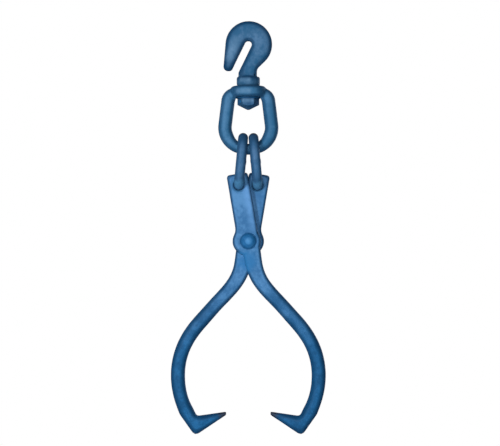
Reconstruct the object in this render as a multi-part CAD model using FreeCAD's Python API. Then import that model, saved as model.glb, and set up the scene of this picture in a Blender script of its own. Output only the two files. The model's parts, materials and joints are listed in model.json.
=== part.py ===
import FreeCAD, Part
import math
import os

# Forged lifting tongs that hang from a swivel grab hook. Two crossed arms turn on one rivet, and two
# welded oval links carry the arms' eyes from the round bottom bar of the swivel bow.
# Millimetres and degrees, +Z up, +X to the right, +Y away from the front. The origin is the centre of
# the round end of the hook's slot, on the swivel axis. The arms are shown closed.

# Fits and cuts
running_gap = 0.10
seat_gap = 0.05
free_gap = 0.30
overrun = 4.0
touch_gap = 0.001
quarter_round_share = 1 - math.sqrt(1 / 2)

# Grab hook: a round crown with a slanted slot for one chain link, a blunt tip and a necked collar
slot_width = 10.5
slot_slant = 26.0
crown_radius = 33.0
crown_offset = 0.7
crown_end_angle = -46.0
tip_drop = 37.7
tip_flare = 5.0
tip_outer_round = 6.0
tip_inner_round = 4.5
hook_depth = 21.0
hook_edge_round = 4.5
neck_width = 24.0
neck_round = 10.0
neck_cove = 6.0
collar_drop = 46.3
collar_height = 12.9
collar_diameter = 32.5
collar_edge_round = 2.5
shank_diameter = 20.0

# Swivel bow: a round bar bent to a closed loop, with a round boss that the shank turns in
boss_diameter = 50.0
boss_height = 15.5
boss_edge_round = 5.0
shoulder_blend = 6.0
bow_bar_diameter = 18.8
bow_bar_drop = 12.0
bow_height = 76.4
bow_half_width = 33.4
bow_shoulder_radius = 10.0
bow_corner_radius = 28.5
bow_bottom_radius = 44.5
bow_side_lean = 7.0
nut_seat_diameter = 38.0

# Swivel nut, washer and lock pin under the boss
swivel_washer_diameter = 34.0
swivel_washer_thickness = 2.0
nut_across_flats = 27.0
nut_flat_height = 9.0
nut_point_height = 7.0
nut_point_diameter = 3.0
lock_pin_diameter = 4.0
lock_pin_inset = 0.3
hexagon_sides = 6

# Links
link_bar_diameter = 14.0
link_inner_width = 26.0
link_pitch = 72.0
link_half_spacing = 7.4
link_hang_gap = 0.65

# Arms: a flat upper part with the link's eye and the pivot boss
eye_to_pivot = 80.5
eye_half_spread = 13.4
eye_edge_round = 4.0
eye_gap = 0.60
arm_end_margin = 16.5
arm_end_round = 4.0
plate_width = 30.2
plate_depth = 11.0
plate_edge_round = 3.0
pivot_boss_diameter = 40.0
pivot_boss_offset = 2.4
pivot_boss_blend = 18.0

# Legs: a rounded bar that swings out from the pivot, swells into the middle plane and comes back in.
# The stations give the middle of the bar across and down from the pivot, its width and its swell from
# the flat upper part to the full leg.
leg_span = 100.5
leg_drop = 278.4
leg_width = 20.2
leg_depth = 19.0
section_corner_share = 0.42
leg_station_shares = (
    (0.000, 0.000, 1.25, 0.00),
    (0.080, 0.119, 1.20, 0.00),
    (0.140, 0.183, 1.12, 0.00),
    (0.283, 0.257, 1.04, 0.30),
    (0.596, 0.380, 1.02, 0.85),
    (0.863, 0.503, 1.01, 1.00),
    (0.987, 0.627, 0.99, 1.00),
    (0.990, 0.750, 0.98, 1.00),
    (0.883, 0.873, 1.03, 1.00),
)
leg_run_out_shares = (0.66, 0.96)

# Points: a chisel that tapers inward from the heel
heel_across_share = 0.734
heel_height = 28.0
heel_step = 2.6
heel_round = 6.0
inner_corner_round = 3.0
point_length = 42.0
point_rise = 6.0
point_end_height = 4.2
point_end_depth = 9.0

# Pivot rivet and the washer under its rear head
rivet_diameter = 16.0
rivet_head_diameter = 25.0
rivet_head_height = 6.0
rivet_washer_diameter = 34.0
rivet_washer_thickness = 3.0

# Levels down the swivel axis
collar_top = -collar_drop
collar_bottom = collar_top - collar_height
boss_top = collar_bottom - free_gap
boss_bottom = boss_top - boss_height
washer_top = boss_bottom - free_gap
nut_top = washer_top - swivel_washer_thickness
nut_flat_bottom = nut_top - nut_flat_height
bow_bar_level = boss_top - bow_bar_drop
bow_bottom_level = bow_bar_level - bow_height

# Where the links and arms meet at rest
plate_face = free_gap / 2 + plate_depth
plate_shift = plate_face - plate_depth / 2
link_fall = math.sqrt(link_pitch ** 2 - plate_shift ** 2)
bow_centre_level = bow_bottom_level + bow_bottom_radius
crown_reach = bow_bottom_radius - (bow_bar_diameter + link_bar_diameter) / 2 - link_hang_gap
link_top_level = bow_centre_level - math.sqrt(crown_reach ** 2 - link_half_spacing ** 2)
link_lean = math.asin((eye_half_spread - link_half_spacing) / link_fall)
eye_level = link_top_level - link_fall * math.cos(link_lean)
arm_lean = math.asin(eye_half_spread / eye_to_pivot)
pivot_level = eye_level - eye_to_pivot * math.cos(arm_lean)
rivet_washer_top = -plate_face - free_gap

X_AXIS = FreeCAD.Vector(1, 0, 0)
Y_AXIS = FreeCAD.Vector(0, 1, 0)
Z_AXIS = FreeCAD.Vector(0, 0, 1)
ORIGIN = FreeCAD.Vector(0, 0, 0)


def at(x, z):
    return FreeCAD.Vector(x, 0, z)


def around(centre, radius, degrees):
    """The point of a circle in the XZ plane, with degrees counted from +X towards +Z."""
    turn = math.radians(degrees)
    return centre + at(radius * math.cos(turn), radius * math.sin(turn))


class Outline:
    """A closed outline drawn from point to point in one plane."""

    def __init__(self, start):
        self.start = start
        self.last = start
        self.edges = []

    def line(self, end):
        self.edges.append(Part.LineSegment(self.last, end).toShape())
        self.last = end

    def arc(self, middle, end):
        self.edges.append(Part.Arc(self.last, middle, end).toShape())
        self.last = end

    def corner(self, corner, onward, radius):
        """Draw to a corner, and round it towards the next point."""
        back = (self.last - corner).normalize()
        ahead = (onward - corner).normalize()
        half = back.getAngle(ahead) / 2
        middle_way = (back + ahead).normalize()
        centre = corner + middle_way * (radius / math.sin(half))
        self.line(corner + back * (radius / math.tan(half)))
        self.arc(centre - middle_way * radius, corner + ahead * (radius / math.tan(half)))

    def wire(self):
        if self.last.distanceToPoint(self.start) > Part.Vertex(self.start).Tolerance:
            self.line(self.start)
        return Part.Wire(self.edges)

    def face(self):
        return Part.Face(self.wire())


def block_between(face, front, back):
    """The solid of an XZ outline from one depth to another."""
    block = face.extrude(Y_AXIS * (back - front))
    block.translate(Y_AXIS * front)
    return block


def turned(outline):
    """The solid that an outline beside the Z axis makes around it."""
    return outline.face().revolve(ORIGIN, Z_AXIS, 360)


def level_edges(solid, depths):
    """The edges that lie flat in one of the given depths."""
    tolerance = solid.getTolerance(1)
    flat = []
    for edge in solid.Edges:
        box = edge.BoundBox
        if any(max(abs(box.YMin - depth), abs(box.YMax - depth)) < tolerance for depth in depths):
            flat.append(edge)
    return flat


def disc(diameter, thickness, top):
    return Part.makeCylinder(diameter / 2, thickness, at(0, top - thickness), Z_AXIS)


def swept_bar(path, diameter):
    """A round bar along a closed path."""
    start = path.Edges[0].firstVertex().Point
    along = path.Edges[0].tangentAt(path.Edges[0].FirstParameter)
    ring = Part.Wire(Part.makeCircle(diameter / 2, start, along))
    return path.makePipeShell([ring], True, False)


def hook_blank():
    """The flat forging of the hook: crown, slot, tip and neck."""
    centre = at(crown_offset, 0)
    seat = slot_width / 2
    down = at(-math.sin(math.radians(slot_slant)), -math.cos(math.radians(slot_slant)))
    across = at(-down.z, down.x)
    neck_side = neck_width / 2
    lip = collar_diameter / 2 - collar_edge_round
    foot = collar_top - collar_edge_round
    flare_start = around(centre, crown_radius, 180 - tip_flare)
    round_end = around(centre, crown_radius, crown_end_angle)
    tip_corner = flare_start + at(-math.tan(math.radians(tip_flare)), -1) * (flare_start.z + tip_drop)
    run_in = (round_end.x - neck_side) / math.tan(math.radians(-crown_end_angle))
    neck_corner = at(neck_side, round_end.z - run_in)
    far_wall = across * -seat
    near_wall = across * seat
    slot_mouth = far_wall + down * ((tip_drop + far_wall.z) / -down.z)
    near_foot = near_wall + down * ((lip + near_wall.x) / -down.x)

    outline = Outline(near_foot)
    outline.line(near_wall)
    outline.arc(down * -seat, far_wall)
    outline.corner(slot_mouth, tip_corner, tip_inner_round)
    outline.corner(tip_corner, flare_start, tip_outer_round)
    outline.line(flare_start)
    outline.arc(around(centre, crown_radius, 90), round_end)
    outline.corner(neck_corner, at(neck_side, foot), neck_round)
    outline.line(at(neck_side, foot))
    outline.line(at(-lip, foot))
    blank = block_between(outline.face(), -hook_depth / 2, hook_depth / 2)
    rims = level_edges(blank, (-hook_depth / 2, hook_depth / 2))
    rounded = [edge for edge in rims if edge.BoundBox.ZMax > foot + hook_edge_round]
    return blank.makeFillet(hook_edge_round, rounded)


def hook_collar():
    """The coved neck, the collar that bears on the boss, and the shank that turns in it."""
    radius = collar_diameter / 2
    edge = collar_edge_round
    lip = radius - edge
    neck_top = collar_top + neck_cove
    outline = Outline(at(0, neck_top))
    outline.line(at(lip - neck_cove, neck_top))
    outline.arc(around(at(lip, neck_top), neck_cove, 225), at(lip, collar_top))
    outline.arc(around(at(lip, collar_top - edge), edge, 45), at(radius, collar_top - edge))
    outline.line(at(radius, collar_bottom + edge))
    outline.arc(around(at(lip, collar_bottom + edge), edge, -45), at(lip, collar_bottom))
    outline.line(at(shank_diameter / 2, collar_bottom))
    outline.line(at(shank_diameter / 2, nut_flat_bottom))
    outline.line(at(0, nut_flat_bottom))
    return turned(outline)


def lock_pin(diameter, length):
    """A cross pin through two opposite flats of the nut, halfway down them."""
    across = FreeCAD.Rotation(Z_AXIS, 180 / hexagon_sides).multVec(X_AXIS)
    middle = at(0, (nut_top + nut_flat_bottom) / 2)
    return Part.makeCylinder(diameter / 2, length, middle - across * (length / 2), across)


def pin_hole():
    return lock_pin(lock_pin_diameter + 2 * seat_gap, nut_across_flats + overrun)


def grab_hook():
    return hook_blank().fuse(hook_collar()).cut(pin_hole()).removeSplitter()


def swivel_washer():
    bore = disc(shank_diameter + 2 * seat_gap, swivel_washer_thickness, washer_top)
    return disc(swivel_washer_diameter, swivel_washer_thickness, washer_top).cut(bore)


def swivel_nut():
    """A hexagon whose lower end runs to a point, with a blind bore for the shank."""
    corner_radius = nut_across_flats / 2 / math.cos(math.pi / hexagon_sides)
    bottom = nut_flat_bottom - nut_point_height
    corners = []
    for side in range(hexagon_sides + 1):
        turn = side * 2 * math.pi / hexagon_sides
        across = corner_radius * math.cos(turn)
        corners.append(FreeCAD.Vector(across, corner_radius * math.sin(turn), bottom))
    hexagon = Part.Face(Part.makePolygon(corners)).extrude(Z_AXIS * (nut_top - bottom))
    outline = Outline(at(0, nut_top))
    outline.line(at(corner_radius, nut_top))
    outline.line(at(corner_radius, nut_flat_bottom))
    outline.line(at(nut_point_diameter / 2, bottom))
    outline.line(at(0, bottom))
    bore = disc(shank_diameter + 2 * seat_gap, nut_flat_height + seat_gap, nut_top)
    return hexagon.common(turned(outline)).cut(bore).cut(pin_hole())


def bow_path():
    """The middle line of the bow's bar: level top, leaning sides and a round bottom of three arcs."""
    swing = math.asin((bow_half_width - bow_corner_radius) / (bow_bottom_radius - bow_corner_radius))
    swing_degrees = math.degrees(swing)
    bottom_centre = at(0, bow_centre_level)
    corner_centre = around(bottom_centre, bow_bottom_radius - bow_corner_radius, swing_degrees - 90)
    corner_start = around(corner_centre, bow_corner_radius, bow_side_lean)
    normal = around(ORIGIN, 1, bow_side_lean)
    shoulder_level = bow_bar_level - bow_shoulder_radius
    side_reach = normal.dot(corner_start) - bow_shoulder_radius
    shoulder_centre = at((side_reach - normal.z * shoulder_level) / normal.x, shoulder_level)
    top_end = at(shoulder_centre.x, bow_bar_level)
    shoulder_middle = around(shoulder_centre, bow_shoulder_radius, (90 + bow_side_lean) / 2)
    shoulder_end = around(shoulder_centre, bow_shoulder_radius, bow_side_lean)
    corner_middle = around(corner_centre, bow_corner_radius, (bow_side_lean + swing_degrees - 90) / 2)
    corner_end = around(bottom_centre, bow_bottom_radius, swing_degrees - 90)

    def other_side(point):
        return at(-point.x, point.z)

    outline = Outline(at(0, bow_bar_level))
    outline.line(top_end)
    outline.arc(shoulder_middle, shoulder_end)
    outline.line(corner_start)
    outline.arc(corner_middle, corner_end)
    outline.arc(at(0, bow_bottom_level), other_side(corner_end))
    outline.arc(other_side(corner_middle), other_side(corner_start))
    outline.line(other_side(shoulder_end))
    outline.arc(other_side(shoulder_middle), other_side(top_end))
    return outline.wire()


def shared_edges(whole, one, other):
    """The edges of a fused shape where the skins of two of its pieces meet."""
    def lies_on(skin, edge):
        middle = edge.valueAt((edge.FirstParameter + edge.LastParameter) / 2)
        return skin.distToShape(Part.Vertex(middle))[0] < touch_gap
    return [edge for edge in whole.Edges if lies_on(one.Shells[0], edge) and lies_on(other.Shells[0], edge)]


def swivel_bow():
    boss = disc(boss_diameter, boss_height, boss_top)
    rims = [edge for edge in boss.Edges if edge.Closed]
    boss = boss.makeFillet(boss_edge_round, rims)
    bar = swept_bar(bow_path(), bow_bar_diameter)
    bow = bar.fuse(boss).removeSplitter()
    bow = bow.makeFillet(shoulder_blend, shared_edges(bow, bar, boss))
    nut_room = disc(nut_seat_diameter, boss_height, boss_bottom)
    bore = disc(shank_diameter + 2 * running_gap, boss_height + overrun, boss_top)
    return bow.cut(nut_room).cut(bore).removeSplitter()


def left_link():
    """An oval link, upright under the bow's bar, then leant back to its arm's plane and out to its eye."""
    bend = (link_inner_width + link_bar_diameter) / 2
    side = Y_AXIS * bend
    upper = at(0, -bend)
    lower = at(0, bend - link_pitch)
    outline = Outline(upper - side)
    outline.arc(ORIGIN, upper + side)
    outline.line(lower + side)
    outline.arc(at(0, -link_pitch), lower - side)
    link = swept_bar(outline.wire(), link_bar_diameter)
    link.rotate(ORIGIN, X_AXIS, -math.degrees(math.asin(plate_shift / link_pitch)))
    link.rotate(ORIGIN, Y_AXIS, math.degrees(link_lean))
    link.translate(at(-link_half_spacing, link_top_level))
    return link


def bar_section(middle, travel, width, depth, shift):
    """A rounded rectangle square to the bar's travel, shifted in depth from the middle plane."""
    middle = middle + Y_AXIS * shift
    wide = side_of(travel) * (width / 2)
    deep = Y_AXIS * (depth / 2)
    corner = section_corner_share * min(width, depth)
    outline = Outline(middle - deep)
    outline.corner(middle + wide - deep, middle + wide + deep, corner)
    outline.corner(middle + wide + deep, middle - wide + deep, corner)
    outline.corner(middle - wide + deep, middle - wide - deep, corner)
    outline.corner(middle - wide - deep, middle - deep, corner)
    return outline.wire()


def boss_blend(side):
    """Centre of the arc from the plate's edge on one side (1 or -1) to the boss, and its end's angle."""
    across = plate_width / 2 + pivot_boss_blend
    reach = pivot_boss_diameter / 2 + pivot_boss_blend
    run = across + side * pivot_boss_offset
    level = math.sqrt(reach ** 2 - run ** 2)
    return at(side * across, level), math.degrees(math.atan2(level, side * run))


def arm_plate():
    """The flat upper part of the arm, with a boss that swells outwards, leant from pivot to eye."""
    half = plate_width / 2
    end = eye_to_pivot + arm_end_margin
    boss = pivot_boss_diameter / 2
    boss_centre = at(-pivot_boss_offset, 0)
    right_centre, right_angle = boss_blend(1)
    left_centre, left_angle = boss_blend(-1)
    outline = Outline(at(0, end))
    outline.corner(at(half, end), at(half, right_centre.z), arm_end_round)
    outline.line(at(half, right_centre.z))
    right_end = around(boss_centre, boss, right_angle)
    left_end = around(boss_centre, boss, left_angle)
    outline.arc(around(right_centre, pivot_boss_blend, 180 + right_angle / 2), right_end)
    outline.arc(around(boss_centre, boss, -90), left_end)
    outline.arc(around(left_centre, pivot_boss_blend, (left_angle - 180) / 2), at(-half, left_centre.z))
    outline.corner(at(-half, end), at(0, end), arm_end_round)
    front = -plate_face
    plate = block_between(outline.face(), front, front + plate_depth)
    plate = plate.makeFillet(plate_edge_round, level_edges(plate, (front, front + plate_depth)))
    plate.rotate(ORIGIN, Y_AXIS, -math.degrees(arm_lean))
    return plate


def side_of(travel):
    """The outer side of the leg, square to its travel."""
    return at(-travel.z, travel.x)


def section_between(inner, outer, depth):
    """The bar's rounded section from its inner to its outer side."""
    wide = outer - inner
    travel = at(wide.z, -wide.x).normalize()
    return bar_section((inner + outer) / 2, travel, wide.Length, depth, 0)


def inner_corner():
    """The inner corner where the leg turns into its point."""
    return at(heel_across_share * leg_span, heel_height - leg_drop)


def rounded(corner, before, after, run):
    """Three points round a corner of about a right angle, from a run before it to a run after it."""
    first = (before - corner).normalize() * run
    last = (after - corner).normalize() * run
    return [corner + first, corner + (first + last) * quarter_round_share, corner + last]


def point_sections(inner, outer):
    """The sections round the heel and along the chisel to its blunt tip, from the leg's last section."""
    corner = inner_corner()
    heel = at(corner.x + heel_step, -leg_drop)
    tip_top = corner + at(-point_length, point_rise)
    tip_foot = tip_top - at(0, point_end_height)
    inners = rounded(corner, inner, tip_top, inner_corner_round)
    outers = rounded(heel, outer, tip_foot, heel_round)
    turn = [section_between(near, far, leg_depth) for near, far in zip(inners, outers)]
    return turn + [section_between(tip_top, tip_foot, point_end_depth)]


def beyond_flat(level):
    """Room before and behind the arm's flat part, from a level up past the pivot boss."""
    side = pivot_boss_diameter
    height = side - level
    before = Part.makeBox(2 * side, overrun, height, FreeCAD.Vector(-side, -plate_face - overrun, level))
    behind = Part.makeBox(2 * side, overrun, height, FreeCAD.Vector(-side, -free_gap / 2, level))
    return before.fuse(behind)


def arm_leg():
    """The leg's rounded bar, lofted through its stations, with the heel and the chisel point."""
    middles = [at(across * leg_span, -down * leg_drop) for across, down, wide, swell in leg_station_shares]
    path = Part.BSplineCurve()
    across_share, down_share = leg_run_out_shares
    path.interpolate(middles + [at(across_share * leg_span, -down_share * leg_drop)])
    sections = []
    for middle, (across, down, wide, swell) in zip(middles, leg_station_shares):
        travel = path.tangent(path.parameter(middle))[0]
        width = wide * leg_width
        depth = plate_depth + swell * (leg_depth - plate_depth)
        shift = -(1 - swell) * plate_shift
        sections.append(bar_section(middle, travel, width, depth, shift))
    flat_levels = [middle.z for middle, shares in zip(middles, leg_station_shares) if shares[-1] == 0]
    bar = Part.makeLoft(sections, True, False).cut(beyond_flat(min(flat_levels)))
    outer_side = side_of(travel) * (width / 2)
    ends = point_sections(middle - outer_side, middle + outer_side)
    point = Part.makeLoft(sections[-1:] + ends, True, True)
    return bar.fuse(point)


def eye_hole():
    """The link's eye, wide enough for the bend of its bar over the plate, with rounded rims."""
    bend = link_inner_width / 2
    wall = plate_depth / 2 - eye_edge_round
    bow_of_bar = bend - math.sqrt(bend ** 2 - wall ** 2)
    slope_of_bar = wall * plate_shift / link_fall
    radius = link_bar_diameter / 2 + bow_of_bar + slope_of_bar + eye_gap
    half = plate_depth / 2
    rim = radius + eye_edge_round
    outline = Outline(at(0, half))
    outline.line(at(rim, half))
    outline.arc(around(at(rim, wall), eye_edge_round, 135), at(radius, wall))
    outline.line(at(radius, -wall))
    outline.arc(around(at(rim, -wall), eye_edge_round, 225), at(rim, -half))
    outline.line(at(0, -half))
    hole = turned(outline)
    hole.rotate(ORIGIN, X_AXIS, 90)
    hole.translate(FreeCAD.Vector(-eye_half_spread, -plate_shift, eye_level - pivot_level))
    return hole


def front_arm():
    reach = plate_depth + overrun
    rivet_hole = Part.makeCylinder(rivet_diameter / 2 + running_gap, reach, Y_AXIS * -reach, Y_AXIS)
    arm = arm_plate().fuse(arm_leg()).cut(eye_hole()).cut(rivet_hole).removeSplitter()
    arm.translate(at(0, pivot_level))
    return arm


def half_turned(shape):
    """The same piece on the other side of the swivel axis."""
    other = shape.copy()
    other.rotate(ORIGIN, Z_AXIS, 180)
    return other


def on_pivot(solid):
    """A piece drawn around the Z axis, laid on the pivot with its top to the front."""
    solid.rotate(ORIGIN, X_AXIS, 90)
    solid.translate(at(0, pivot_level))
    return solid


def dome(outline, level, height):
    """Draw a low round head from its rim to its top, which lies the given height beyond the level."""
    radius = rivet_head_diameter / 2
    ball = (radius ** 2 + height ** 2) / (2 * abs(height))
    lean = math.asin(radius / ball) / 2
    way = math.copysign(1, height)
    centre = level + height - way * ball
    outline.arc(at(ball * math.sin(lean), centre + way * ball * math.cos(lean)), at(0, level + height))


def pivot_rivet():
    """A rivet with two low round heads, drawn upright with its front head on top."""
    radius = rivet_diameter / 2
    head = rivet_head_diameter / 2
    rear = rivet_washer_top - rivet_washer_thickness
    front_half = Outline(at(0, 0))
    front_half.line(at(radius, 0))
    front_half.line(at(radius, plate_face))
    front_half.line(at(head, plate_face))
    dome(front_half, plate_face, rivet_head_height)
    rear_half = Outline(at(0, 0))
    rear_half.line(at(radius, 0))
    rear_half.line(at(radius, rear))
    rear_half.line(at(head, rear))
    dome(rear_half, rear, -rivet_head_height)
    return on_pivot(turned(front_half).fuse(turned(rear_half)).removeSplitter())


def rivet_washer():
    bore = disc(rivet_diameter + 2 * seat_gap, rivet_washer_thickness, rivet_washer_top)
    return on_pivot(disc(rivet_washer_diameter, rivet_washer_thickness, rivet_washer_top).cut(bore))


def main():
    os.makedirs("parts", exist_ok=True)
    link = left_link()
    arm = front_arm()
    pieces = {
        "grab_hook": grab_hook(),
        "swivel_bow": swivel_bow(),
        "swivel_washer": swivel_washer(),
        "swivel_nut": swivel_nut(),
        "nut_lock_pin": lock_pin(lock_pin_diameter, nut_across_flats - 2 * lock_pin_inset),
        "left_link": link,
        "right_link": half_turned(link),
        "front_arm": arm,
        "rear_arm": half_turned(arm),
        "pivot_rivet": pivot_rivet(),
        "rivet_washer": rivet_washer(),
    }
    for name, shape in pieces.items():
        solids = shape.Solids
        print(name, "solids", len(solids), "valid", shape.isValid(), "volume", round(shape.Volume))
        solids[0].exportStep("parts/" + name + ".step")


main()
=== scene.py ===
import bpy
import json
import math
import numpy as np
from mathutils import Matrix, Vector

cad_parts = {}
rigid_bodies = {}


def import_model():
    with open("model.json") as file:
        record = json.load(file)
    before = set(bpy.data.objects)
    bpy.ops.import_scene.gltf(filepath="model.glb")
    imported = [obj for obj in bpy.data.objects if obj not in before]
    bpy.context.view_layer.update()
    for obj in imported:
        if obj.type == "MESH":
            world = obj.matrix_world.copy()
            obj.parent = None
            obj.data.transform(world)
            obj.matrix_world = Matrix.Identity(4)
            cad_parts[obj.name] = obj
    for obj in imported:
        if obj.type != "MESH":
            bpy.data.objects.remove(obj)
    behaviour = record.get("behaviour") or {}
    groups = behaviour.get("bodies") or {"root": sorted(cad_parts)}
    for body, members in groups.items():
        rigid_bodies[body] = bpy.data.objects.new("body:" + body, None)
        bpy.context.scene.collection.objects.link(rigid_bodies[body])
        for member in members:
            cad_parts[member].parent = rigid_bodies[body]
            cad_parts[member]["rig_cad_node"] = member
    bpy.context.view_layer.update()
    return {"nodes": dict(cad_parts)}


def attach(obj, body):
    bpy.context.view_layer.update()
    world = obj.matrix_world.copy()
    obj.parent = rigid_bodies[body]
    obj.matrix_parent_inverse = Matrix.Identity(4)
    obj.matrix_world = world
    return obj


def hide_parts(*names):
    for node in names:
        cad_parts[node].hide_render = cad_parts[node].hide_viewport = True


# Forged lifting tongs, painted blue, that hang from a swivel grab hook.
# Metres, +Z up. The front faces -Y, and the origin is the seat of the hook's slot.

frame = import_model()

# Camera: straight on, with a frame as wide as the photograph's at the tongs
FRAME_WIDTH = 0.715
CAMERA_DISTANCE = 2.4
CAMERA_AIM = Vector((0.0024, 0.0, -0.2551))
SENSOR_WIDTH = 36.0

# Stage and light: a pale floor, a weak fill, and soft lamps with their places, sizes and powers
FLOOR_LEVEL = -1.20
FLOOR_SIZE = 9.0
FLOOR_COLOUR = (0.80, 0.80, 0.80)
FLOOR_GLOW = 0.45
FLOOR_FADE = (1.2, 3.8)
FILL_LEVEL = 0.08
LEFT_LAMP = (-1.25, -1.93, 0.10), 0.4, 30
FRONT_LAMP = (-0.10, -2.35, 0.0), 0.3, 22
REAR_LAMP = (1.35, 1.85, 0.1), 0.6, 48

# Skins of the forgings: fineness of the mesh, steps that soften it, and waves on its faces
MERGE_DISTANCE = 0.00001
FORGING_GRAIN = 0.0008
SMALL_GRAIN = 0.0005
STEP_SHARE = 0.5
LINK_STEPS = 6
HOOK_STEPS = 10
BOW_STEPS = 16
ARM_STEPS = 20
SMALL_STEPS = 3
RIVET_STEPS = 4
SETTLING_STEPS = 2
PROUD_STEPS = 120
WAVE_LENGTH = 0.016
WAVE_HEIGHT = 0.00020
SMALL_WAVE_HEIGHT = 0.00010
SWELL = 0.00012

# Forms on the skins
DOME_STEPS = 900
DOME_FADE = (-0.054, -0.040)
FLASH_HALF_WIDTH = 0.0008
FLASH_HEIGHT = 0.00025
FLASH_LEAN = 0.4
SEAT_DEPTH = 0.0037
SEAT_HEIGHT = 0.0090
SEAT_TOP_FADE = (-0.124, -0.132)
SEAT_SIDE_FADE = (0.028, 0.014)
CROWN_FADE = (-0.190, -0.140)
WELD_HALF_LENGTH = 0.0045
WELD_HEIGHT = 0.00040
WELD_RINGS = (1, 0.6)
EYE_RADIUS = 0.0100
EYE_FILL = 0.00060
HEAD_LEVEL = -0.0110
HEAD_LEAN = 0.5
HEAD_TRIM = 0.0011
FLAT_RADIUS = 0.0050
FLAT_REACH = 0.003
FLAT_DEPTH = 0.0004

# Places on the part. A pair is the two ends of a streak.
SLOT_SEAT = Vector((0, 0, 0))
HOOK_TIP = Vector((-0.0280, 0, -0.0390))
HOOK_LIMB = Vector((-0.0180, -0.0090, 0.0050)), Vector((-0.0262, -0.0085, -0.0190))
COLLAR_FRONT = Vector((-0.0100, -0.0120, -0.0512)), Vector((0.0010, -0.0158, -0.0512))
BOSS_FRONT = Vector((-0.0140, -0.0195, -0.0680)), Vector((0.0015, -0.0240, -0.0680))
NUT_FRONT = Vector((-0.0100, -0.0135, -0.0805)), Vector((0.0100, -0.0135, -0.0805))
LINK_TOP = Vector((-0.0074, 0, -0.1298))
LINK_FOOT = Vector((-0.0134, -0.0056, -0.2014))
LINK_SIDE = Vector((0, 0.0200, 0))
LINK_BEND = Vector((0, 0.0144, 0))
BOW_SEAT = Vector((-0.0074, 0, -0.1412))
BOW_BAR = Vector((0, 0, -0.1469))
TIP = Vector((0.0318, 0, -0.5272))
HUB_FOOT = Vector((-0.0045, -0.0100, -0.3100))
PLATE_EDGE = Vector((-0.0030, -0.0113, -0.2060)), Vector((0.0078, -0.0113, -0.2620))
RIVET_CENTRE = Vector((0, 0, -0.2807))
RIVET_SEAT = RIVET_CENTRE - Vector((0, 0.0120, 0))

# Reach of the marks on the paint
SLOT_RUB = 0.0056
HOOK_TIP_GRIME = 0.0100
HOOK_LIMB_HIGHLIGHT = 0.0100
COLLAR_HIGHLIGHT = 0.0050
BOW_SEAT_RUB = 0.0060
BOSS_HIGHLIGHT = 0.0060
NUT_HIGHLIGHT = 0.0045
LINK_TOP_RUB_AND_SHADE = 0.0125
LINK_BEND_TINT = 0.0130
TIP_RUB = 0.0150
EYE_SHADE = 0.0160
HUB_TINT = 0.0200
RIVET_SHADE = 0.0140
PLATE_EDGE_HIGHLIGHT = 0.0095
RIVET_HIGHLIGHT = 0.0065

# Colours, linear: the two tones of each paint, and the tints of marks with their share of bare metal
LEG_TONES = (0.005, 0.073, 0.192), (0.014, 0.126, 0.312)
PLATE_TONES = (0.033, 0.146, 0.340), (0.083, 0.247, 0.500)
HOOK_TONES = (0.020, 0.105, 0.225), (0.066, 0.168, 0.315)
NECK_TONES = (0.036, 0.148, 0.290), (0.090, 0.230, 0.405)
BOW_TONES = (0.026, 0.128, 0.265), (0.056, 0.178, 0.340)
NUT_TONES = (0.012, 0.070, 0.170), (0.050, 0.145, 0.280)
LINK_TONES = (0.032, 0.118, 0.250), (0.062, 0.160, 0.315)
RIVET_TONES = (0.010, 0.110, 0.290), (0.028, 0.165, 0.400)
DEEP_BLUE = (0.003, 0.035, 0.095)
RUBBED = (0.26, 0.26, 0.27), 0.9
DARK_STEEL = (0.022, 0.026, 0.036), 0.5
GRIME = DEEP_BLUE, 0
PALE_HIGHLIGHT = (0.070, 0.265, 0.560), 0
# A lighter blue for the painted highlights on the hook, collar, boss and nut
PAINTED_HIGHLIGHT = (0.120, 0.250, 0.415), 0
HUB_BLUE = (0.024, 0.165, 0.400), 0
SHADE = (0.012, 0.075, 0.185), 0
TEAL = (0.056, 0.195, 0.370), 0
EYE_SHADE_BLUE = (0.046, 0.172, 0.355), 0
BRIGHT_HIGHLIGHT = (0.120, 0.310, 0.630), 0

# Upper parts with tones of their own: the tones, the heights of the fade, and, below and above it, how
# much the painted shade on rims and flanks darkens them and how soon a rim does
HOOK_HEAD = HOOK_TONES, (-0.056, -0.046), (0.55, 1.25), (1, 1)
# The plates' paler tones are partly a painted sheen on their flat faces
ARM_PLATE = PLATE_TONES, (-0.450, -0.318), (1, 1), (1.9, 1.4)

# Paint: scale, detail and roughness of its unevenness, where its painted shade darkens it and how much, and
# its finish
PATCHES = 38, 3, 0.5
CLOUDS = 160, 4, 0.6
GRAIN = 900, 3, 0.6
NOISE_MIDDLE = 0.5
TONE_RANGE = (0.38, 0.64)
FADE_NOISE = 0.55
# Painted shade in the hollows, on the rims and on the flanks
HOLLOW = (-0.02, -0.45)
HOLLOW_PAINTED_SHADE = 0.8
RIM = (0.42, 0.85)
HOOK_RIM = (0.20, 0.55)
RIM_NOISE = 0.2
RIM_PAINTED_SHADE = 0.6
FLANK = (0.02, 0.40)
HOOK_FLANK = (0.0, 0.11)
BAR_FLANK = (0.02, 0.26)
ARM_FLANK = (0.0, 0.22)
FLANK_NOISE = 0.25
FLANK_PAINTED_SHADE = 0.55
MARK_NOISE = 0.6
SPOT_SHARE = 0.85
STREAK_SHARE = 0.80
SATIN_ROUGHNESS = 0.38
CLOUD_ROUGHNESS = 0.18
FLANK_ROUGHNESS = 0.4
SPECULAR_LEVEL = 0.08
PATCH_HEIGHT = 0.4
CLOUD_HEIGHT = 0.25
GRAIN_HEIGHT = 0.08
BUMP_STRENGTH = 0.6
BUMP_DISTANCE = 0.001

MILLIMETRES = 1000


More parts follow.
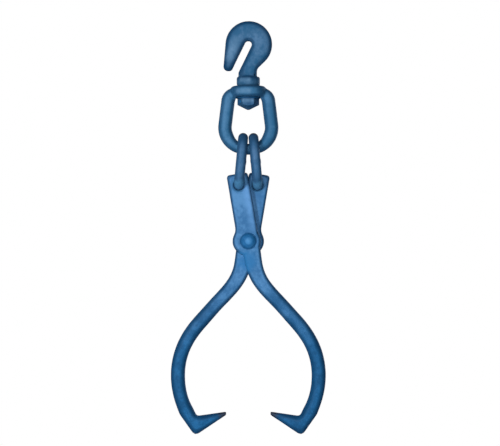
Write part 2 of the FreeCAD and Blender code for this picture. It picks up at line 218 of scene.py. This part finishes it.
class Term:
    """A number on a surface. Arithmetic with terms adds Math nodes to their tree."""

    def __init__(self, nodes, socket):
        self.nodes = nodes
        self.socket = socket

    def joined(self, operation, first, second):
        return self.nodes.node("ShaderNodeMath", {"operation": operation}, {0: first, 1: second})

    def __add__(self, other):
        return self.joined("ADD", self, other)

    def __radd__(self, other):
        return self.joined("ADD", other, self)

    def __sub__(self, other):
        return self.joined("SUBTRACT", self, other)

    def __rsub__(self, other):
        return self.joined("SUBTRACT", other, self)

    def __mul__(self, other):
        return self.joined("MULTIPLY", self, other)

    def __rmul__(self, other):
        return self.joined("MULTIPLY", other, self)

    def at_least(self, other):
        return self.joined("MAXIMUM", self, other)

    def at_most(self, other):
        return self.joined("MINIMUM", self, other)


class Nodes:
    """A node tree that is filled one node at a time."""

    def __init__(self, owner):
        owner.use_nodes = True
        self.tree = owner.node_tree
        self.tree.nodes.clear()

    def node(self, kind, settings=None, sockets=None, output=0):
        """Add a node, set it up, fill its sockets with values or links, and give one output."""
        made = self.tree.nodes.new(kind)
        for key, value in (settings or {}).items():
            setattr(made, key, value)
        for key, value in (sockets or {}).items():
            if isinstance(value, Term):
                self.tree.links.new(value.socket, made.inputs[key])
            else:
                made.inputs[key].default_value = value
        return Term(self, made.outputs[output]) if made.outputs else None

    def place(self):
        return self.node("ShaderNodeTexCoord", output="Object")

    def attribute(self, name):
        return self.node("ShaderNodeAttribute", {"attribute_name": name}, None, "Fac")

    def noise(self, place, scale, detail, roughness):
        sockets = {"Vector": place, "Scale": scale, "Detail": detail, "Roughness": roughness}
        return self.node("ShaderNodeTexNoise", None, sockets)

    def step(self, term, low, high):
        """Nought at the low value and one at the high value, smooth between."""
        sockets = {"Value": term, "From Min": low, "From Max": high}
        return self.node("ShaderNodeMapRange", {"interpolation_type": "SMOOTHSTEP"}, sockets)

    def mix(self, share, first, second):
        """A colour between two, where the share says how much of the second."""
        def colour(value):
            return value if isinstance(value, Term) else (*value, 1)
        sockets = {0: share, 6: colour(first), 7: colour(second)}
        return self.node("ShaderNodeMix", {"data_type": "RGBA"}, sockets, 2)

    def vector(self, operation, sockets, output="Vector"):
        return self.node("ShaderNodeVectorMath", {"operation": operation}, sockets, output)

    def distance(self, place, spot):
        """How far a place lies from a point, or from the line between two."""
        if isinstance(spot, Vector):
            return self.vector("DISTANCE", {0: place, 1: spot}, "Value")
        start, end = spot
        along = end - start
        off = self.vector("SUBTRACT", {0: place, 1: start})
        share = self.vector("DOT_PRODUCT", {0: off, 1: along / along.length_squared}, "Value")
        nearest = self.vector("SCALE", {0: along, "Scale": share.at_least(0).at_most(1)})
        return self.vector("DISTANCE", {0: off, 1: nearest}, "Value")

    def looked_at(self):
        """One for what is seen straight, in gloss or through glass, and nought for light elsewhere."""
        straight = self.node("ShaderNodeLightPath", output="Is Camera Ray")
        gloss = self.node("ShaderNodeLightPath", output="Is Glossy Ray")
        glass = self.node("ShaderNodeLightPath", output="Is Transmission Ray")
        return straight.at_least(gloss).at_least(glass)


class Paint:
    """Satin blue paint over a forged skin.

    Its colour lies between two tones, and the upper part of a piece may have tones of its own. Hollows,
    rims and flanks are darker, a painted shade: the rim says how far proud, in millimetres, and the flank
    how far turned sideways a place starts to darken and is darkest. Marks are spots round a point or
    streaks between two, each with its reach and tint.
    """

    def __init__(self, name, tones, marks=(), rim=RIM, flank=FLANK, upper=None):
        self.material = bpy.data.materials.new(name)
        self.nodes = Nodes(self.material)
        self.place = self.nodes.place()
        self.patch = self.nodes.noise(self.place, *PATCHES)
        self.cloud = self.nodes.noise(self.place, *CLOUDS)
        self.uneven = self.cloud - NOISE_MIDDLE
        self.tone = self.nodes.step(self.patch * 0.5 + self.cloud * 0.5, *TONE_RANGE)
        self.colour = self.nodes.mix(self.tone, *tones)
        self.darkness = 1
        self.keenness = 1
        self.metal = 0
        if upper:
            self.change_above(*upper)
        self.darken(rim, flank)
        self.wear(marks)
        self.finish_surface()

    def lay(self, share, colour):
        """Cover a share of the colour so far with another."""
        self.colour = self.nodes.mix(share, self.colour, colour)

    def change_above(self, tones, fade, darkness, keenness):
        """Fade to the upper part's tones, and to its way of darkening."""
        low, high = fade
        height = self.nodes.node("ShaderNodeSeparateXYZ", None, {0: self.place}, "Z")
        wander = (self.patch - NOISE_MIDDLE) * (FADE_NOISE * (high - low))
        share = self.nodes.step(height + wander, low, high)
        self.lay(share, self.nodes.mix(self.tone, *tones))
        self.darkness = darkness[0] + share * (darkness[1] - darkness[0])
        self.keenness = keenness[0] + share * (keenness[1] - keenness[0])

    def darken(self, rim, flank):
        """Paint shade into the hollows, rims and flanks of the form."""
        proud = self.nodes.attribute("proud")
        self.lay(self.nodes.step(proud, *HOLLOW) * HOLLOW_PAINTED_SHADE, DEEP_BLUE)
        edge = self.nodes.step((proud + self.uneven * RIM_NOISE) * self.keenness, *rim)
        self.lay(edge * RIM_PAINTED_SHADE * self.darkness, DEEP_BLUE)
        side = self.nodes.attribute("side")
        self.turned = self.nodes.step(side + self.uneven * (FLANK_NOISE * flank[1]), *flank)
        self.lay(self.turned * FLANK_PAINTED_SHADE * self.darkness, DEEP_BLUE)

    def wear(self, marks):
        """Lay the marks over the paint, with the bare metal that some of them show."""
        for spot, reach, (tint, bare) in marks:
            far = self.nodes.distance(self.place, spot) + self.uneven * (MARK_NOISE * reach)
            if isinstance(spot, Vector):
                share = self.nodes.step(far, reach, reach / 2) * SPOT_SHARE
            else:
                share = self.nodes.step(far, reach, 0) * (STREAK_SHARE * (0.5 + self.tone * 0.5))
            self.lay(share, tint)
            if bare:
                self.metal = share * bare + self.metal

    def finish_surface(self):
        """Give the paint its gloss and its fine unevenness."""
        grain = self.nodes.noise(self.place, *GRAIN)
        height = self.patch * PATCH_HEIGHT + self.cloud * CLOUD_HEIGHT + grain * GRAIN_HEIGHT
        bump = {"Strength": BUMP_STRENGTH, "Distance": BUMP_DISTANCE, "Height": height}
        sockets = {
            "Base Color": self.colour,
            "Roughness": SATIN_ROUGHNESS + self.cloud * CLOUD_ROUGHNESS + self.turned * FLANK_ROUGHNESS,
            "Metallic": self.metal,
            "Specular IOR Level": SPECULAR_LEVEL,
            "Normal": self.nodes.node("ShaderNodeBump", None, bump),
        }
        shader = self.nodes.node("ShaderNodeBsdfPrincipled", {"distribution": "GGX"}, sockets)
        self.nodes.node("ShaderNodeOutputMaterial", None, {"Surface": shader})


def mirrored(point):
    """The same place on the opposite arm or link, half a turn round the swivel axis."""
    return Vector((-point.x, -point.y, point.z))


def both_sides(point, reach, tint):
    """The same mark on either side of the tongs."""
    return [(point, reach, tint), (mirrored(point), reach, tint)]


def ramp(value, low, high):
    """Nought at the low value and one at the high value, smooth between."""
    share = min(max((value - low) / (high - low), 0), 1)
    return share * share * (3 - 2 * share)


def select_only(piece):
    bpy.ops.object.select_all(action="DESELECT")
    piece.select_set(True)
    bpy.context.view_layer.objects.active = piece


def skin_of(node):
    """A copy of a solid with its loose triangles joined up, ready to be worked on."""
    select_only(frame["nodes"][node])
    bpy.ops.object.duplicate()
    skin = bpy.context.active_object
    skin.name = node + "_skin"
    skin.data.name = skin.name
    del skin["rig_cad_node"]
    bpy.ops.object.parent_clear(type="CLEAR")
    bpy.ops.object.mode_set(mode="EDIT")
    bpy.ops.mesh.select_mode(type="VERT")
    bpy.ops.mesh.select_all(action="SELECT")
    bpy.ops.mesh.remove_doubles(threshold=MERGE_DISTANCE)
    bpy.ops.object.mode_set(mode="OBJECT")
    return skin


def apply(skin, kind, **settings):
    """Change a skin by a modifier."""
    modifier = skin.modifiers.new(kind, kind)
    for key, value in settings.items():
        setattr(modifier, key, value)
    bpy.ops.object.modifier_apply(modifier=modifier.name)


def soften(skin, steps, **settings):
    apply(skin, "SMOOTH", factor=STEP_SHARE, iterations=steps, **settings)


def swell(skin, chosen, height):
    """Raise the chosen points of a skin along their normals."""
    bpy.ops.object.mode_set(mode="EDIT")
    bpy.ops.mesh.select_all(action="DESELECT")
    bpy.ops.object.mode_set(mode="OBJECT")
    for vertex in skin.data.vertices:
        vertex.select = chosen(vertex)
    bpy.ops.object.mode_set(mode="EDIT")
    bpy.ops.transform.shrink_fatten(value=height)
    bpy.ops.object.mode_set(mode="OBJECT")


def group_of(skin, name, weight):
    """A group of a skin's points, each with the weight of its place."""
    group = skin.vertex_groups.new(name=name)
    for vertex in skin.data.vertices:
        group.add([vertex.index], weight(vertex.co), "REPLACE")
    return name


def sink(skin, weight):
    """Lower the points of a skin by their share of the seat's depth."""
    sunk = group_of(skin, "sunk", weight)
    apply(skin, "DISPLACE", direction="Z", vertex_group=sunk, strength=-SEAT_DEPTH, mid_level=0)


def flash_line(skin):
    """The low ridge that the trimmed flash leaves round a forging, where its dies met."""
    def on_line(vertex):
        return abs(vertex.co.y) < FLASH_HALF_WIDTH and abs(vertex.normal.y) < FLASH_LEAN
    swell(skin, on_line, FLASH_HEIGHT)


def dome_hook(skin):
    """The hook's faces, which round off from their middle to the rim, with the outline kept."""
    domed = group_of(skin, "domed", lambda point: ramp(point.z, *DOME_FADE))
    soften(skin, DOME_STEPS, use_x=False, use_z=False, vertex_group=domed)
    flash_line(skin)


def seat_bow(skin):
    """The thinner seat that carries the links in the middle of the bow's bar."""
    def on_seat(point):
        high = ramp(point.z, BOW_BAR.z, BOW_BAR.z + SEAT_HEIGHT) * ramp(point.z, *SEAT_TOP_FADE)
        return high * ramp(abs(point.x), *SEAT_SIDE_FADE)
    flash_line(skin)
    sink(skin, on_seat)


def weld(skin, top, foot, side):
    """The swelling of the butt weld in the middle of a link's rear side."""
    middle = (top + foot) / 2 + side
    along = (foot - top).normalized()
    for share in WELD_RINGS:
        def in_weld(vertex):
            off = vertex.co - middle
            return abs(off.dot(along)) < share * WELD_HALF_LENGTH and off.length < side.length
        swell(skin, in_weld, WELD_HEIGHT / len(WELD_RINGS))


def seat_link(skin):
    """The weld of a link, and its crown down in the bow's seat."""
    places = LINK_TOP, LINK_FOOT, LINK_SIDE
    if skin.name.startswith("right"):
        places = [mirrored(point) for point in places]
    weld(skin, *places)
    sink(skin, lambda point: ramp(point.z, *CROWN_FADE))


def tighten_eye(skin):
    """Paint and scale that fill the play round the link in an arm's eye."""
    def in_eye(vertex):
        eye = LINK_FOOT if vertex.co.x < 0 else mirrored(LINK_FOOT)
        return math.hypot(vertex.co.x - eye.x, vertex.co.z - eye.z) < EYE_RADIUS
    swell(skin, in_eye, EYE_FILL)


def set_head(skin):
    """The rivet's front head, a little smaller all round than its solid, and the flat in its middle."""
    def on_head(vertex):
        return vertex.co.y < HEAD_LEVEL and vertex.normal.y < HEAD_LEAN
    def on_flat(vertex):
        off = vertex.co - RIVET_CENTRE
        return vertex.co.y < front + FLAT_REACH and math.hypot(off.x, off.z) < FLAT_RADIUS
    swell(skin, on_head, -HEAD_TRIM)
    front = min(vertex.co.y for vertex in skin.data.vertices)
    swell(skin, on_flat, -FLAT_DEPTH)


def points_of(mesh, what):
    """The places or normals of a mesh's points, one row each."""
    rows = np.empty(3 * len(mesh.vertices), np.float32)
    mesh.vertices.foreach_get(what, rows)
    return rows.reshape(-1, 3)


def mark_form(skin):
    """Store how far each point is proud of a smoothed copy, in millimetres, and how far turned sideways."""
    places = points_of(skin.data, "co")
    normals = points_of(skin.data, "normal")
    bpy.ops.object.duplicate()
    copy = bpy.context.active_object
    soften(copy, PROUD_STEPS)
    proud = MILLIMETRES * ((places - points_of(copy.data, "co")) * normals).sum(axis=1)
    bpy.ops.object.delete()
    select_only(skin)
    for name, values in (("proud", proud), ("side", 1 - abs(normals[:, 1]))):
        skin.data.attributes.new(name, "FLOAT", "POINT").data.foreach_set("value", values)


def forging(node, body, paint, steps, work=None, grain=FORGING_GRAIN, wave=WAVE_HEIGHT):
    """The painted skin of one forging in place of its solid: soft edges, uneven faces and its own forms."""
    skin = skin_of(node)
    skin.data.remesh_voxel_size = grain
    bpy.ops.object.voxel_remesh()
    soften(skin, steps)
    if work:
        work(skin)
        soften(skin, SETTLING_STEPS)
    clouds = bpy.data.textures.new("forge wave", "CLOUDS")
    clouds.noise_scale = WAVE_LENGTH
    middle = NOISE_MIDDLE - SWELL / wave
    apply(skin, "DISPLACE", texture=clouds, texture_coords="LOCAL", strength=wave, mid_level=middle)
    bpy.ops.object.shade_smooth()
    mark_form(skin)
    skin.data.materials.clear()
    skin.data.materials.append(paint.material)
    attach(skin, body)
    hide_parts(node)


def small_forging(node, body, paint, steps=SMALL_STEPS, work=None):
    forging(node, body, paint, steps, work, SMALL_GRAIN, SMALL_WAVE_HEIGHT)


def tongs():
    """All pieces of the tongs in their paint. A later mark lies over an earlier one."""
    hook_marks = [
        (SLOT_SEAT, SLOT_RUB, RUBBED),
        (HOOK_TIP, HOOK_TIP_GRIME, GRIME),
        # painted highlights along the hook's left limb and the front of its collar
        (HOOK_LIMB, HOOK_LIMB_HIGHLIGHT, PAINTED_HIGHLIGHT),
        (COLLAR_FRONT, COLLAR_HIGHLIGHT, PAINTED_HIGHLIGHT),
    ]
    bow_marks = [
        *both_sides(BOW_SEAT, BOW_SEAT_RUB, RUBBED),
        # painted highlight on the front of the boss
        (BOSS_FRONT, BOSS_HIGHLIGHT, PAINTED_HIGHLIGHT),
    ]
    link_marks = [
        # dark crowns: bare steel rubbed where they bear on the bow, and painted shade over their tops
        *both_sides(LINK_TOP, LINK_TOP_RUB_AND_SHADE, DARK_STEEL),
        *both_sides(LINK_FOOT + LINK_BEND, LINK_BEND_TINT, TEAL),
        *both_sides(LINK_FOOT - LINK_BEND, LINK_BEND_TINT, TEAL),
    ]
    arm_marks = [
        *both_sides(TIP, TIP_RUB, DARK_STEEL),
        # a slightly darker blue round each eye: painted shade
        *both_sides(LINK_FOOT, EYE_SHADE, EYE_SHADE_BLUE),
        *both_sides(HUB_FOOT, HUB_TINT, HUB_BLUE),
        (RIVET_SEAT, RIVET_SHADE, SHADE),
        # painted highlight along the front plate's right edge
        (PLATE_EDGE, PLATE_EDGE_HIGHLIGHT, BRIGHT_HIGHLIGHT),
    ]
    hook = Paint("hook blue", NECK_TONES, hook_marks, HOOK_RIM, HOOK_FLANK, HOOK_HEAD)
    bow = Paint("bow blue", BOW_TONES, bow_marks, flank=BAR_FLANK)
    # the nut's streak is a painted highlight along its front facets
    nut = Paint("nut blue", NUT_TONES, [(NUT_FRONT, NUT_HIGHLIGHT, PAINTED_HIGHLIGHT)])
    link = Paint("link blue", LINK_TONES, link_marks, flank=BAR_FLANK)
    arm = Paint("arm blue", LEG_TONES, arm_marks, flank=ARM_FLANK, upper=ARM_PLATE)
    # painted highlight in the middle of the rivet head
    rivet = Paint("rivet blue", RIVET_TONES, [(RIVET_SEAT, RIVET_HIGHLIGHT, PALE_HIGHLIGHT)])
    washer = Paint("washer blue", LEG_TONES)

    forging("grab_hook", "hook", hook, HOOK_STEPS, dome_hook)
    small_forging("swivel_nut", "hook", nut)
    small_forging("swivel_washer", "hook", washer)
    forging("swivel_bow", "bow", bow, BOW_STEPS, seat_bow)
    forging("left_link", "link_left", link, LINK_STEPS, seat_link)
    forging("right_link", "link_right", link, LINK_STEPS, seat_link)
    forging("front_arm", "arm_front", arm, ARM_STEPS, tighten_eye)
    forging("rear_arm", "arm_rear", arm, ARM_STEPS, tighten_eye)
    small_forging("pivot_rivet", "arm_front", rivet, RIVET_STEPS, set_head)
    small_forging("rivet_washer", "arm_front", washer)
    pin = frame["nodes"]["nut_lock_pin"]
    pin.data.materials.clear()
    pin.data.materials.append(washer.material)


def camera():
    """A level camera in front of the tongs."""
    bpy.ops.object.camera_add(location=CAMERA_AIM - Vector((0, CAMERA_DISTANCE, 0)))
    made = bpy.context.active_object
    made.rotation_euler = (math.pi / 2, 0, 0)
    made.data.sensor_width = SENSOR_WIDTH
    made.data.lens = SENSOR_WIDTH * CAMERA_DISTANCE / FRAME_WIDTH
    bpy.context.scene.camera = made


def lamp(name, place, size, power):
    """A square soft box that faces the middle of the tongs."""
    bpy.ops.object.light_add(type="AREA", location=place)
    made = bpy.context.active_object
    made.name = name
    made.data.shape = "SQUARE"
    made.data.size = size
    made.data.energy = power
    made.rotation_euler = (CAMERA_AIM - Vector(place)).to_track_quat("-Z", "Y").to_euler()


def white_surround():
    """A world that is white to look at and in gloss, and gives a weak fill light."""
    world = bpy.data.worlds.new("white surround")
    bpy.context.scene.world = world
    nodes = Nodes(world)
    level = nodes.looked_at() * (1 - FILL_LEVEL) + FILL_LEVEL
    glow = nodes.node("ShaderNodeBackground", None, {"Color": (1, 1, 1, 1), "Strength": level})
    nodes.node("ShaderNodeOutputWorld", None, {"Surface": glow})


def floor():
    """A pale floor under the hanging tongs that fades to white far away and keeps their shadow."""
    bpy.ops.mesh.primitive_plane_add(size=FLOOR_SIZE, location=(0, 0, FLOOR_LEVEL))
    made = bpy.context.active_object
    made.name = "floor"
    material = bpy.data.materials.new("pale floor")
    nodes = Nodes(material)
    far = nodes.step(nodes.distance(nodes.place(), Vector((0, 0, 0))), *FLOOR_FADE)
    share = nodes.looked_at() * (FLOOR_GLOW + far * (1 - FLOOR_GLOW))
    matt = nodes.node("ShaderNodeBsdfDiffuse", None, {"Color": (*FLOOR_COLOUR, 1)})
    glow = nodes.node("ShaderNodeEmission", None, {"Color": (1, 1, 1, 1)})
    shader = nodes.node("ShaderNodeMixShader", None, {0: share, 1: matt, 2: glow})
    nodes.node("ShaderNodeOutputMaterial", None, {"Surface": shader})
    made.data.materials.append(material)


bpy.context.scene.view_settings.view_transform = "Standard"
tongs()
floor()
white_surround()
lamp("left lamp", *LEFT_LAMP)
lamp("front lamp", *FRONT_LAMP)
lamp("rear lamp", *REAR_LAMP)
camera()
